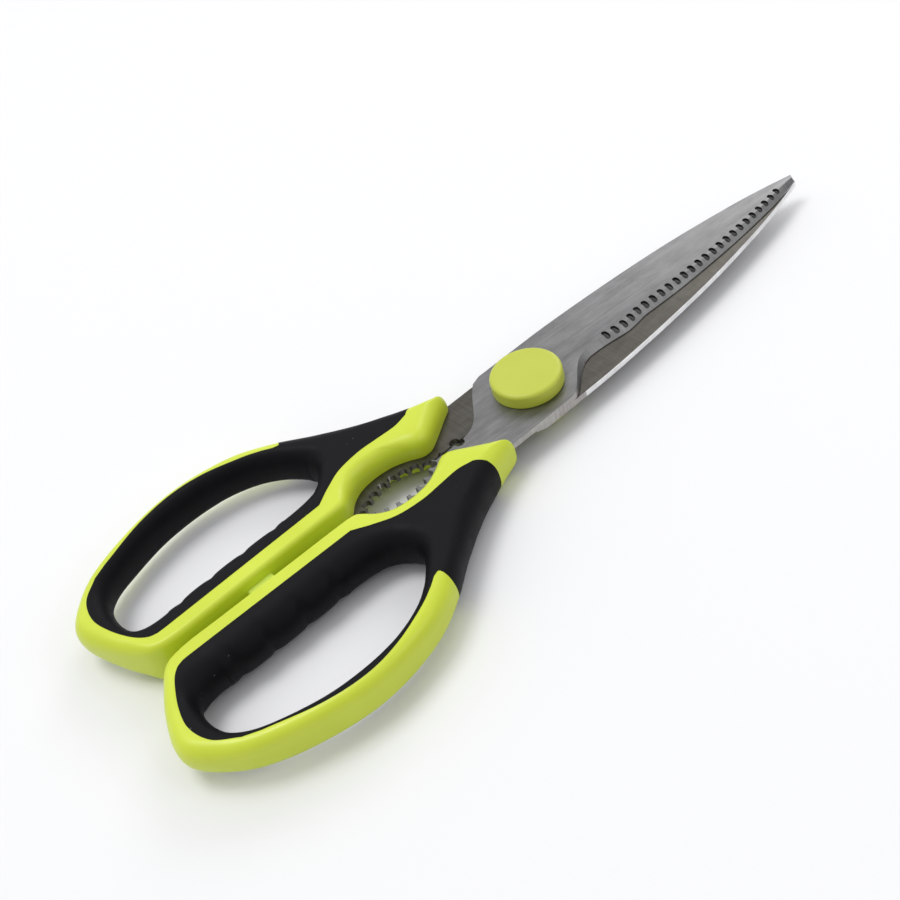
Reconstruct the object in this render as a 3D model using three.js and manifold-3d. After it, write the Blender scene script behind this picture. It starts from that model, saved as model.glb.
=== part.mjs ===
// Poultry shears: two stainless blades on one pivot, each with its tang moulded into a two-colour handle.
// Units are millimetres. +X runs from the handles to the tip, +Z is up, and the pivot axis is x = 0, y = 0.
// The shears lie closed on the plane z = 0.
//
// One arm is designed once, about its own mid-plane z = 0, with its blade on the -Y side and its handle on
// the +Y side. The lower blade's arm stands as designed; the upper blade's arm is the same arm turned half
// a turn about the X axis, so the two cross at the pivot as real shears do.
import * as THREE from "three";
import { mergeVertices } from "three/addons/utils/BufferGeometryUtils.js";
import Module from "manifold-3d";

const wasm = await Module();
wasm.setup();

// ---- Driving dimensions ----------------------------------------------------------------------------------
const HANDLE_THICKNESS = 13.0; // at the collar and along the inner strip
const RIM_THICKNESS = 10.6; // along the outer side of a finger loop
const MID = HANDLE_THICKNESS / 2; // height of the plane where the blades meet
const STOCK = 1.7; // thickness of the blade steel
const BLADE_GAP = 0.1; // running gap between the two blades
const CLEARANCE = 0.3; // gap that every moulded or pressed-in piece keeps to its neighbour
const OVERCUT = 1; // how far a cutter runs out past the face that it opens

const LAND = 0.3; // upright land left at the cutting edge
const BEVEL = 1.9; // width of the ground bevel along the edge
const PIVOT_HOLE_RADIUS = 3.2;

const BITE_STEPS = 6; // facets round each bite
const TEETH = { x: -44.3, y: -12.5, radius: 17, pitch: 3.1, count: 8, cutter: 1.15, offset: 0.45 };
const PITS = { count: 25, firstX: 24.6, lastX: 94.2, length: 2.9, tipLength: 2.1, width: 1.5, depth: 0.9 };

const BOLT = {
  shaft: 3.1,
  head: 5.4,
  headHeight: 1.3,
  chamfer: 0.4,
  slot: 1.2,
  slotDepth: 0.6,
  standsOut: 0.3, // length of the shaft's end below the nut
  segments: 40,
};
const WASHER = { inner: 3.3, outer: 5.2, height: 0.4 };
const NUT = { acrossCorners: 9.6, height: 1.9, hole: 3.2 };
const CAP = { radius: 9.45, height: 4.05, wall: 1.2, rim: 0.8, segments: 48 };

const STOP_PAD = { x0: -88.5, x1: -81, below: 3.2, stem: 2.2, stemHalf: 1.5 };

// ---- Materials -------------------------------------------------------------------------------------------
const steel = new THREE.MeshStandardMaterial({ color: 0x9a9a9c, roughness: 0.38, metalness: 1.0 });
const darkSteel = new THREE.MeshStandardMaterial({ color: 0x77777a, roughness: 0.3, metalness: 1.0 });
const limePlastic = new THREE.MeshStandardMaterial({ color: 0xbed03c, roughness: 0.4, metalness: 0.0 });
const paleLime = new THREE.MeshStandardMaterial({ color: 0xcfdc6a, roughness: 0.45, metalness: 0.0 });
const blackGrip = new THREE.MeshStandardMaterial({ color: 0x232326, roughness: 0.7, metalness: 0.0 });

// ---- Geometry helpers ------------------------------------------------------------------------------------

// A closed three.js geometry as a solid that can be cut and joined.
function solid(geometry) {
  const bare = new THREE.BufferGeometry();
  const source = geometry.index ? geometry.toNonIndexed() : geometry;
  bare.setAttribute("position", source.getAttribute("position").clone());
  const merged = mergeVertices(bare, 1e-4);
  return new wasm.Manifold(
    new wasm.Mesh({
      numProp: 3,
      vertProperties: merged.attributes.position.array,
      triVerts: new Uint32Array(merged.index.array),
    }),
  );
}

// A solid back as a three.js mesh.
function piece(name, body, material) {
  const { vertProperties, triVerts } = body.getMesh();
  const geometry = new THREE.BufferGeometry();
  geometry.setAttribute("position", new THREE.BufferAttribute(vertProperties, 3));
  geometry.setIndex(new THREE.BufferAttribute(triVerts, 1));
  const faceted = geometry.toNonIndexed();
  faceted.computeVertexNormals();
  const mesh = new THREE.Mesh(faceted, material.clone());
  mesh.name = name;
  return mesh;
}

// A smooth open curve through a few [x, y] points, as count + 1 points.
function through(points, count) {
  const curve = new THREE.SplineCurve(points.map(([x, y]) => new THREE.Vector2(x, y)));
  return curve.getPoints(count).map((p) => [p.x, p.y]);
}

// Points of an arc about [cx, cy], angles in degrees.
function arc(cx, cy, radius, from, to, count) {
  return Array.from({ length: count + 1 }, (_, i) => {
    const angle = THREE.MathUtils.degToRad(from + ((to - from) * i) / count);
    return [cx + radius * Math.cos(angle), cy + radius * Math.sin(angle)];
  });
}

// An upright prism of a closed outline between two heights.
function prism(outline, bottom, top) {
  const shape = new THREE.Shape(outline.map(([x, y]) => new THREE.Vector2(x, y)));
  const geometry = new THREE.ExtrudeGeometry(shape, { depth: top - bottom, bevelEnabled: false });
  return solid(geometry.translate(0, 0, bottom));
}

function rectangle(x0, x1, y0, y1) {
  return [[x0, y0], [x1, y0], [x1, y1], [x0, y1]];
}

// The outline moved outwards by a distance (inwards if negative), each corner along its own bisector.
function offset(outline, distance) {
  const turn = THREE.ShapeUtils.area(outline.map(([x, y]) => new THREE.Vector2(x, y))) > 0 ? 1 : -1;
  return outline.map(([x, y], i) => {
    const before = outline.at(i - 1);
    const after = outline[(i + 1) % outline.length];
    const a = new THREE.Vector2(x - before[0], y - before[1]).normalize();
    const b = new THREE.Vector2(after[0] - x, after[1] - y).normalize();
    const bisector = new THREE.Vector2(a.y + b.y, -a.x - b.x).normalize();
    const stretch = Math.max(0.5, bisector.x * a.y - bisector.y * a.x);
    const step = (turn * distance) / stretch;
    return [x + bisector.x * step, y + bisector.y * step];
  });
}

// A solid between stacked outlines with the same number of corners: layers are { outline, z }, bottom first.
function stack(layers) {
  const count = layers[0].outline.length;
  const positions = layers.flatMap(({ outline, z }) => outline.flatMap(([x, y]) => [x, y, z]));
  const index = [];
  for (let layer = 0; layer + 1 < layers.length; layer++) {
    for (let i = 0; i < count; i++) {
      const a = layer * count + i;
      const b = layer * count + ((i + 1) % count);
      index.push(a, b, b + count, a, b + count, a + count);
    }
  }
  const cap = (layer) =>
    THREE.ShapeUtils.triangulateShape(
      layers[layer].outline.map(([x, y]) => new THREE.Vector2(x, y)),
      [],
    ).map((triangle) => triangle.map((i) => i + layer * count));
  for (const [a, b, c] of cap(0)) index.push(a, c, b);
  for (const [a, b, c] of cap(layers.length - 1)) index.push(a, b, c);
  const geometry = new THREE.BufferGeometry();
  geometry.setAttribute("position", new THREE.Float32BufferAttribute(positions, 3));
  geometry.setIndex(index);
  return solid(geometry);
}

// A ring-shaped solid: sections[i] is a closed loop of [x, y, z] points, and the last joins the first.
function ring(sections) {
  const count = sections[0].length;
  const index = [];
  sections.forEach((_, s) => {
    const here = s * count;
    const next = ((s + 1) % sections.length) * count;
    for (let i = 0; i < count; i++) {
      const j = (i + 1) % count;
      index.push(here + i, next + i, next + j, here + i, next + j, here + j);
    }
  });
  const geometry = new THREE.BufferGeometry();
  geometry.setAttribute("position", new THREE.Float32BufferAttribute(sections.flat(2), 3));
  geometry.setIndex(index);
  return solid(geometry);
}

// A turned solid about the pivot axis. The profile is [radius, z], from the axis round to the axis.
function turned(profile, segments) {
  const points = profile.map(([r, z]) => new THREE.Vector2(r, z));
  return solid(new THREE.LatheGeometry(points, segments).rotateX(Math.PI / 2));
}

// ---- Blade -----------------------------------------------------------------------------------------------
// The outline is walked anticlockwise seen from above. Each stretch may carry a bevel width at its start and
// end: the outer face of the blade, which looks down on this arm, stands back from the outline by that much.

function stretch(points, startBevel = 0, endBevel = startBevel) {
  return points.map(([x, y], i) => {
    const t = points.length > 1 ? i / (points.length - 1) : 0;
    return { x, y, bevel: startBevel + (endBevel - startBevel) * t };
  });
}

// The cracker teeth: round bites along an arc, with flat-topped teeth between them.
function crackerTeeth() {
  const step = TEETH.pitch / TEETH.radius;
  const reach = TEETH.radius + TEETH.offset;
  const half = Math.acos((TEETH.radius ** 2 + reach ** 2 - TEETH.cutter ** 2) / (2 * TEETH.radius * reach));
  const polar = (radius, angle) => [TEETH.x + radius * Math.cos(angle), TEETH.y + radius * Math.sin(angle)];
  const first = Math.PI / 2 + ((TEETH.count - 1) / 2) * step;
  const points = [polar(TEETH.radius, first + step / 2)];
  for (let i = 0; i < TEETH.count; i++) {
    const angle = first - i * step;
    const centre = polar(reach, angle);
    const heading = (side) => {
      const [x, y] = polar(TEETH.radius, angle + side * half);
      return Math.atan2(y - centre[1], x - centre[0]);
    };
    const from = heading(1);
    const sweep = (heading(-1) - from - 2 * Math.PI) % (2 * Math.PI);
    const degrees = THREE.MathUtils.radToDeg;
    points.push(...arc(centre[0], centre[1], TEETH.cutter, degrees(from), degrees(from + sweep), BITE_STEPS));
  }
  points.push(polar(TEETH.radius, first - (TEETH.count - 0.5) * step));
  return points;
}

const SPINE = [
  [-6, -12.95], [6, -12.95], [20, -12.7], [40, -11.4], [60, -9.35], [80, -6.1], [92, -3.5], [102, -0.8],
];
const EDGE = [[101.6, 1.0], [95, 2.4], [90, 3.3], [80, 4.4], [70, 5.2], [60, 5.6], [50, 5.8], [40, 5.5]];
const EDGE_WAVE = [[37, 5.35], [34, 5.8], [30, 6.1], [26, 5.5], [22, 4.95], [17.5, 4.7]];
const RICASSO = [[15, 5.3], [12.6, 6.8], [10.2, 8.8], [7.4, 11.2], [4.6, 12.8], [1.5, 13.1]];
const TANG_OUTER = [[-26, 13], [-34, 13.6], [-42, 14.4], [-50, 12.6], [-56, 9.4], [-62, 8.6], [-90, 8.6]];
const TANG_INNER = [[-90, 4.6], [-62, 4.4], [-58.6, 4.2], [-57.3, 1.7]];
const NECK = [[-22, 0.9], [-19.7, 0], [-17.5, -1.7], [-15.5, -4], [-12, -8.5], [-8.8, -12]];

function bladeOutline() {
  return [
    ...stretch(through(SPINE, 16)),
    ...stretch(through(EDGE, 16), BEVEL * 0.7, BEVEL),
    ...stretch(through(EDGE_WAVE, 10), BEVEL, BEVEL * 0.75),
    ...stretch(through(RICASSO, 8), BEVEL * 0.7, 0),
    ...stretch(TANG_OUTER),
    ...stretch(TANG_INNER),
    ...stretch(crackerTeeth()),
    ...stretch([[-32.4, 1.1], [-30.4, 1.1]]),
    ...stretch(arc(-29.6, 1.0, 0.75, 170, 10, 4)),
    ...stretch([[-26.6, 1.1]]),
    ...stretch(arc(-24.8, 1.3, 1.35, 190, -10, 6)),
    ...stretch(through(NECK, 8)),
  ];
}

// A round-ended slot punched into the outer face, lying across the blade.
function pit(x, y, length) {
  const r = PITS.width / 2;
  const reach = length / 2 - r;
  return prism(
    [...arc(x, y + reach, r, 0, 180, 4), ...arc(x, y - reach, r, 180, 360, 4)],
    -BLADE_GAP / 2 - STOCK - OVERCUT,
    -BLADE_GAP / 2 - STOCK + PITS.depth,
  );
}

function bladeBody() {
  const outline = bladeOutline();
  const flat = outline.map(({ x, y }) => [x, y]);
  const inner = offset(flat, -1);
  const outerFace = outline.map(({ x, y, bevel }, i) => [
    x + (inner[i][0] - x) * bevel,
    y + (inner[i][1] - y) * bevel,
  ]);
  const top = -BLADE_GAP / 2;
  let body = stack([
    { outline: outerFace, z: top - STOCK },
    { outline: flat, z: top - LAND },
    { outline: flat, z: top },
  ]);
  const edge = new THREE.SplineCurve([...EDGE, ...EDGE_WAVE].map(([x, y]) => new THREE.Vector2(x, y)));
  const edgePoints = edge.getPoints(120);
  for (let i = 0; i < PITS.count; i++) {
    const t = i / (PITS.count - 1);
    const x = PITS.firstX + (PITS.lastX - PITS.firstX) * t;
    const near = edgePoints.reduce((a, b) => (Math.abs(b.x - x) < Math.abs(a.x - x) ? b : a));
    body = body.subtract(pit(x, near.y - BEVEL, THREE.MathUtils.lerp(PITS.length, PITS.tipLength, t ** 2)));
  }
  const hole = arc(0, 0, PIVOT_HOLE_RADIUS, 0, 351, 39);
  return body.subtract(prism(hole, top - STOCK - OVERCUT, top + OVERCUT));
}

const TANG_ROOT = { front: -10, side: -9, outside: 13 }; // where the pocket runs out in front of the collar

// The blade's tang as the handle's pocket sees it: a plain slot with clearance all round.
function tangPocket() {
  const { front, side, outside } = TANG_ROOT;
  const outline = bladeOutline().filter(({ x, y }) => x < front && y > side);
  const flat = [...outline.map(({ x, y }) => [x, y]), [front, side], [front, outside]];
  return prism(offset(flat, CLEARANCE), -BLADE_GAP / 2 - STOCK - CLEARANCE, -BLADE_GAP / 2 + CLEARANCE);
}

// ---- Handle ----------------------------------------------------------------------------------------------
// The moulded body is a ring round the finger hole. Each station joins a point of the outer contour to a
// point of the hole, and says how thick the body is there and how far its two edges are rounded:
// [outer x, outer y, hole x, hole y, half thickness, outer rounding, hole rounding].
const HALF = HANDLE_THICKNESS / 2;
const RIM = RIM_THICKNESS / 2;
const STATIONS = [
  // inner strip, back to front
  [-108, 1.5, -107, 13.0, HALF, 1.4, 7.5],
  [-97, 1.6, -97, 13.5, HALF, 1.3, 7.4],
  [-86, 1.75, -86, 13.7, HALF, 1.3, 7.4],
  [-75, 1.9, -75, 13.7, HALF, 1.3, 7.4],
  [-65, 2.0, -66, 13.9, HALF, 1.3, 7.2],
  [-59, 2.1, -61, 14.5, HALF, 1.6, 6.6],
  // wall of the cracker eye
  [-56.6, 2.9, -59.2, 15.2, HALF, 2.3, 6.0],
  [-53.6, 5.8, -57.6, 16.2, HALF, 3.0, 5.4],
  [-50.2, 7.7, -56.4, 17.6, HALF, 3.3, 5.0],
  [-45.6, 8.4, -55.3, 19.0, HALF, 3.3, 5.0],
  [-40.6, 7.9, -54.8, 20.0, HALF, 3.3, 5.0],
  [-36.4, 6.2, -54.5, 20.8, HALF, 3.2, 5.0],
  // collar
  [-33.4, 4.3, -54.4, 21.4, HALF, 3.0, 5.0],
  [-31.5, 3.8, -54.4, 21.7, HALF, 3.0, 5.0],
  [-29.2, 4.3, -54.4, 22.0, HALF, 3.4, 5.0],
  [-25.0, 7.0, -54.5, 22.4, HALF, 4.0, 5.0],
  [-21.2, 9.6, -54.6, 22.8, HALF, 4.4, 5.0],
  [-18.0, 11.8, -54.7, 23.2, HALF, 4.6, 5.0],
  [-17.5, 13.9, -54.9, 23.8, HALF, 4.6, 5.0],
  // outer side of the shoulder
  [-21.6, 15.6, -55.3, 24.4, HALF, 4.6, 5.0],
  [-28, 18.3, -56.0, 25.6, 6.35, 4.8, 4.8],
  [-37, 23.4, -57.4, 27.4, 6.0, 5.0, 4.4],
  [-47, 30.2, -60.5, 30.8, 5.6, 4.6, 3.8],
  // outer rim
  [-56, 37.0, -65, 34.2, 5.4, 4.0, 3.4],
  [-65, 41.6, -71, 36.8, RIM, 3.2, 3.2],
  [-75, 44.0, -77.5, 38.2, RIM, 3.0, 3.2],
  [-85, 44.6, -85, 38.5, RIM, 3.0, 3.2],
  [-95, 43.0, -93, 37.8, RIM, 3.0, 3.2],
  [-105, 40.0, -102, 35.2, RIM, 3.0, 3.3],
  // back of the loop
  [-113.2, 36.4, -108.5, 32.2, 5.1, 3.2, 3.6],
  [-119.7, 31.2, -112.3, 28.6, 5.0, 3.4, 4.0],
  [-123.4, 26, -113.9, 25, 4.9, 3.6, 4.3],
  [-123.6, 21, -114.4, 21.8, 5.0, 3.6, 4.4],
  [-121.5, 15, -114.3, 18.4, 5.3, 3.4, 4.8],
  [-117.8, 8, -113.4, 15.4, 5.9, 2.8, 5.8],
  [-113.8, 3, -111.4, 13.7, HALF, 1.8, 7.0],
];
const STATIONS_PER_GAP = 2;
const CROWN = 0.4; // narrowest flat between the two rounded edges
const WALL_HEIGHT = 0.3; // half the upright part of the outer wall, at the least
const WALL_POINTS = 3; // points of a cross-section over its rounded outer edge
const FLAT_SHARES = [0.25, 0.6]; // where its flat top carries points of its own
const LINING_POINTS = 4; // points over its rounded edge at the hole

// How far a plan point lies from the closed line through the ring's points.
function distanceTo(ring, point) {
  let least = Infinity;
  ring.forEach((from, i) => {
    const line = new THREE.Line3(from, ring[(i + 1) % ring.length]);
    least = Math.min(least, line.closestPointToPoint(point, true, new THREE.Vector3()).distanceTo(point));
  });
  return least;
}

// Share of its height that a rounded edge has lost at a distance from its foot: 1 there, 0 past its radius.
function rounding(distance, radius) {
  const t = 1 - Math.min(1, distance / radius);
  return 1 - Math.sqrt(1 - t * t);
}

// How far along a cross-section its points lie: over the outer edge, the flat top and the hole's edge.
function reaches(length, outerRound, holeRound) {
  const quarter = (count) => Array.from({ length: count }, (_, i) => (i / (count - 1)) * (Math.PI / 2));
  const flat = length - outerRound - holeRound;
  return [
    ...quarter(WALL_POINTS).map((angle) => outerRound * (1 - Math.cos(angle))),
    ...FLAT_SHARES.map((share) => outerRound + flat * share),
    ...quarter(LINING_POINTS).map((angle) => length - holeRound + holeRound * Math.sin(angle)),
  ];
}

// The moulded body of one handle. Its top lies level, and where it is thinner its underside rises: up is 1 on
// the arm that lies as designed and -1 on the one that is turned over.
function handleBody(up) {
  const curve = (k) =>
    new THREE.CatmullRomCurve3(
      STATIONS.map((s) => new THREE.Vector3(s[k], s[k + 1], s[k + 2] ?? 0)),
      true,
      "catmullrom",
      0.5,
    );
  const count = STATIONS.length * STATIONS_PER_GAP;
  const sample = (k) => Array.from({ length: count }, (_, i) => curve(k).getPoint(i / count));
  const outer = sample(0).map((p) => p.setZ(0));
  const hole = sample(2).map((p) => p.setZ(0));
  const form = sample(4);
  const sections = form.map((f, i) => {
    const length = outer[i].distanceTo(hole[i]);
    const half = Math.min(f.x, HALF);
    const fit = Math.min(1, (length - CROWN) / (f.y + f.z));
    const outerRound = f.y * fit;
    const holeRound = f.z * fit;
    const fall = Math.min(outerRound * 1.25, half - WALL_HEIGHT);
    const upper = reaches(length, outerRound, holeRound).map((reach) => {
      const at = outer[i].clone().lerp(hole[i], reach / length);
      const atOuter = fall * rounding(distanceTo(outer, at), outerRound);
      const atHole = half * rounding(distanceTo(hole, at), holeRound);
      return { at, height: Math.max(0, half - atOuter - atHole) };
    });
    upper.at(-1).height = 0;
    const centre = up * (HALF - half);
    const lower = upper.slice(0, -1).reverse();
    return [
      ...upper.map(({ at, height }) => [at.x, at.y, centre + height]),
      ...lower.map(({ at, height }) => [at.x, at.y, centre - height]),
    ];
  });
  return ring(sections);
}

// Where the soft black grip shows: everything on the hole's side of this line, seen from above.
const GRIP_EDGE = [
  ...through([[-108.5, 5.75], [-98, 5.9], [-74, 6.3], [-62, 6.5]], 6),
  ...through([[-58, 9], [-52, 11.9], [-45, 13], [-39, 12.7], [-33.5, 12.4], [-29.2, 13.3]], 8),
  ...through([[-26.6, 15.4], [-25.4, 18], [-25, 24]], 3),
  [-40, 36],
  ...through([[-55.5, 39.5], [-55.4, 35.6], [-56.2, 32.9], [-58, 33.2]], 4),
  ...through([[-60.4, 34.9], [-65.3, 37.5], [-75, 41], [-84.5, 42.1], [-95.5, 40.3], [-108, 35.6]], 8),
  ...through([[-112, 33.6], [-117, 28.9], [-118.8, 22.5], [-117.5, 16], [-114.6, 9.6], [-112.2, 6.7]], 8),
];

// The hard core that runs on under the grip, round the tang: it ties the collar, strip and rim together.
const CORE = [
  [-109, 3], [-109, 9.2], [-62, 9.4], [-57, 11.6], [-52.6, 15.6], [-50.4, 21], [-51, 27], [-53.4, 31],
  [-60, 35.8], [-58, 37.5], [-53, 32.4], [-48, 28.2], [-43, 24.2], [-38, 20.8], [-33, 17.9], [-26, 15],
  [-25, 9], [-36, 8.6], [-45, 9.6], [-55, 7], [-60, 3],
];
const CORE_SKIN = 2.0; // soft material above and below the core

function handlePieces(up) {
  const body = handleBody(up);
  const tall = HANDLE_THICKNESS;
  const core = (grow) => prism(offset(CORE, grow), -HALF + CORE_SKIN - grow, HALF - CORE_SKIN + grow);
  const gripRegion = (grow) => prism(offset(GRIP_EDGE, grow), -tall, tall);
  const pocket = tangPocket();
  const soft = gripRegion(0).subtract(core(CLEARANCE));
  const softRoom = gripRegion(CLEARANCE).subtract(core(0));
  return {
    grip: body.intersect(soft).subtract(pocket),
    shell: body.subtract(softRoom).subtract(pocket),
  };
}

// ---- One arm: blade, hard shell and soft grip ------------------------------------------------------------

const BLADE = bladeBody();

function arm(bladeName, side, { shell, grip }) {
  const group = new THREE.Group();
  group.add(piece(bladeName, BLADE, steel));
  group.add(piece(`${side}_handle_shell`, shell, limePlastic));
  group.add(piece(`${side}_handle_grip`, grip, blackGrip));
  group.position.z = MID;
  return group;
}

// ---- Pivot -----------------------------------------------------------------------------------------------

const UPPER_FACE = MID + BLADE_GAP / 2 + STOCK; // top of the upper blade
const LOWER_FACE = MID - BLADE_GAP / 2 - STOCK; // underside of the lower blade
const SEAT = 0.05; // gap between faces that press on each other

function disc(radius, bottom, top) {
  return turned([[0, bottom], [radius, bottom], [radius, top], [0, top]], BOLT.segments);
}

function washer() {
  const bottom = UPPER_FACE + SEAT;
  return disc(WASHER.outer, bottom, bottom + WASHER.height).subtract(disc(WASHER.inner, 0, HANDLE_THICKNESS));
}

const HEAD_BOTTOM = UPPER_FACE + WASHER.height + 2 * SEAT;
const NUT_TOP = LOWER_FACE - SEAT;
const NUT_BOTTOM = NUT_TOP - NUT.height;

function bolt() {
  const top = HEAD_BOTTOM + BOLT.headHeight;
  const end = NUT_BOTTOM - BOLT.standsOut;
  const { shaft, head, chamfer } = BOLT;
  const profile = [
    [0, end],
    [shaft - chamfer, end],
    [shaft, end + chamfer],
    [shaft, HEAD_BOTTOM],
    [head, HEAD_BOTTOM],
    [head, top - chamfer],
    [head - chamfer, top],
    [0, top],
  ];
  const body = turned(profile, BOLT.segments);
  const slot = new THREE.BoxGeometry(head * 3, BOLT.slot, BOLT.slotDepth * 2);
  return body.subtract(solid(slot.translate(0, 0, top)));
}

function nut() {
  const hexagon = arc(0, 0, NUT.acrossCorners / 2, 0, 300, 5);
  return prism(hexagon, NUT_BOTTOM, NUT_TOP).subtract(disc(NUT.hole, 0, HANDLE_THICKNESS));
}

// A round cover that snaps over the bolt's head or the nut: open towards the blade, with a bevelled rim.
function cover(face, outside) {
  const up = Math.sign(outside - face);
  const wallTop = outside - up * CAP.rim;
  const inside = outside - up * CAP.wall;
  const mouth = face - up;
  const profile = [
    [0, face],
    [CAP.radius, face],
    [CAP.radius, wallTop],
    [CAP.radius - CAP.rim * 0.3, outside - up * CAP.rim * 0.3],
    [CAP.radius - CAP.rim, outside],
    [0, outside],
  ];
  const bore = CAP.radius - CAP.wall;
  const hollow = [[0, mouth], [bore, mouth], [bore, inside], [0, inside]];
  const wound = (points) => (up > 0 ? points : points.slice().reverse());
  return turned(wound(profile), CAP.segments).subtract(turned(wound(hollow), CAP.segments));
}

// ---- Stop pad between the handles ------------------------------------------------------------------------

const STRIP_FACE = 1.75; // the inner faces stand this far from the centre line at the pad

function stopPad() {
  const { x0, x1, below, stem, stemHalf } = STOP_PAD;
  const middle = (x0 + x1) / 2;
  const half = HALF - below;
  const face = STRIP_FACE - CLEARANCE;
  const plate = prism(rectangle(x0, x1, -face, face), MID - half, MID + half);
  const post = rectangle(middle - stemHalf, middle + stemHalf, 0, STRIP_FACE + stem);
  return plate.add(prism(post, MID - stemHalf, MID + stemHalf));
}

function stopPadSocket() {
  const { x0, x1, stem, stemHalf } = STOP_PAD;
  const middle = (x0 + x1) / 2;
  const room = stemHalf + CLEARANCE;
  const depth = STRIP_FACE + stem + CLEARANCE;
  return prism(rectangle(middle - room, middle + room, 0, depth), -room, room);
}

// ---- Assembly --------------------------------------------------------------------------------------------

const shears = new THREE.Group();

const leftHandle = handlePieces(1);
leftHandle.shell = leftHandle.shell.subtract(stopPadSocket());
shears.add(arm("lower_blade", "left", leftHandle));

const upperArm = arm("upper_blade", "right", handlePieces(-1));
upperArm.rotation.x = Math.PI;
shears.add(upperArm);

const pivot = new THREE.Group();
pivot.add(piece("pivot_bolt", bolt(), darkSteel));
pivot.add(piece("pivot_washer", washer(), darkSteel));
pivot.add(piece("pivot_nut", nut(), darkSteel));
pivot.add(piece("pivot_cap_top", cover(UPPER_FACE + SEAT, UPPER_FACE + CAP.height), limePlastic));
pivot.add(piece("pivot_cap_bottom", cover(LOWER_FACE - SEAT, 0), limePlastic));
shears.add(pivot);

shears.add(piece("handle_stop_pad", stopPad(), paleLime));

export default shears;
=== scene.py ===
"""Poultry shears: the visual model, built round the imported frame.

The script works in metres. Its own measures are in millimetres and pass through MM. Each arm is designed
once about the plane where the blades meet, with its blade on the -Y side and its handle on the +Y side, as
the lower blade's arm lies. The upper blade's arm is the same design turned half a turn about the X axis.
"""

import math

import bmesh
import bpy
import numpy as np
from mathutils import Matrix, Vector


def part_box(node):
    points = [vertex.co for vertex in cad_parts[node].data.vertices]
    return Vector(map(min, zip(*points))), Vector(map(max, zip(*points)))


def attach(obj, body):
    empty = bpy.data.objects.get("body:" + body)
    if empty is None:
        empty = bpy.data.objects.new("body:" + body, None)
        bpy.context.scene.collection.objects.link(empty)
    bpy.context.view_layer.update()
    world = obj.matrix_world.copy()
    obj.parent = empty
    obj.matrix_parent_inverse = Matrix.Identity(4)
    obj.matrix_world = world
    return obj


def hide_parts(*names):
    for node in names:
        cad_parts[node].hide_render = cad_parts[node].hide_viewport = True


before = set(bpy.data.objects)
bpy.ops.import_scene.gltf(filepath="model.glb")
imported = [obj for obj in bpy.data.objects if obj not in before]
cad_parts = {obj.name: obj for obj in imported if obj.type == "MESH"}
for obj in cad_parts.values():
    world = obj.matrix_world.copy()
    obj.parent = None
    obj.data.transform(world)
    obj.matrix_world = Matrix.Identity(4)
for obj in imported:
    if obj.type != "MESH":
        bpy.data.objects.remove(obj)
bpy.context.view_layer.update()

MM = 0.001
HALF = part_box("left_handle_shell")[1].z / 2 / MM  # half the handle's thickness
MID = HALF  # height of the plane where the blades meet
BLADE_TOP = (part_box("lower_blade")[1].z / MM) - MID  # inner face of the lower blade, from MID
BLADE_BOTTOM = (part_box("lower_blade")[0].z / MM) - MID

scene = bpy.context.scene


# ---- Camera, floor and light ---------------------------------------------------------------------------

CAMERA_TARGET = (-30.3, -6.0, 13.0)
CAMERA_DISTANCE = 323.1
CAMERA_HEADING = 26.72  # degrees from +Y towards +X
CAMERA_ELEVATION = 43.02
CAMERA_ROLL = -19.29
CAMERA_LENS = 53.6

WORLD_TINT = (0.97, 0.98, 1.0)
BRIGHT_SIDE = (-0.1, 0.55, 0.8)  # where the world is brightest
WORLD_DARK = 0.36  # its strength away from there
WORLD_LIGHT = 0.88  # its strength there
WORLD_DARK_AT = -0.3  # cosine of the angle from the bright side at which it is fully dark
WORLD_LIGHT_AT = 0.95
LIGHTS = {  # place, aim, diameter in metres, power in watts
    "key": ((-0.3, 0.45, 1.55), (-0.05, 0, 0), 0.8, 9.5),
    "second": ((1.15, 0.65, 0.9), (0, 0, 0), 0.8, 4.5),
    "fill": ((0.45, -0.6, 0.6), (0.04, 0, 0), 0.6, 1.0),
}
FLOOR_COLOUR = (0.84, 0.84, 0.845)
FLOOR_REACH = 4.0
FLOOR_DROP = 0.0002  # keeps the floor clear of the shears' underside


def make_camera():
    """The camera looks down on the shears from beside the right handle, rolled so that the tip points up."""
    data = bpy.data.cameras.new("camera")
    data.lens = CAMERA_LENS
    data.sensor_width = 36
    data.clip_start = 0.01
    data.clip_end = 20
    camera = bpy.data.objects.new("camera", data)
    scene.collection.objects.link(camera)
    heading = math.radians(CAMERA_HEADING)
    elevation = math.radians(CAMERA_ELEVATION)
    forward = Vector((
        math.cos(elevation) * math.sin(heading),
        math.cos(elevation) * math.cos(heading),
        -math.sin(elevation),
    ))
    level = Vector((math.cos(heading), -math.sin(heading), 0))
    roll = math.radians(CAMERA_ROLL)
    right = level * math.cos(roll) + level.cross(forward) * math.sin(roll)
    up = right.cross(forward)
    rotation = Matrix((right, up, -forward)).transposed()
    camera.matrix_world = Matrix.Translation(
        (Vector(CAMERA_TARGET) - forward * CAMERA_DISTANCE) * MM
    ) @ rotation.to_4x4()
    scene.camera = camera


def make_area_light(name, place, aim, size, power):
    data = bpy.data.lights.new(name, "AREA")
    data.shape = "DISK"
    data.size = size
    data.energy = power
    light = bpy.data.objects.new(name, data)
    scene.collection.objects.link(light)
    light.location = place
    direction = Vector(aim) - Vector(place)
    light.rotation_euler = direction.to_track_quat("-Z", "Y").to_euler()


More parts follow.
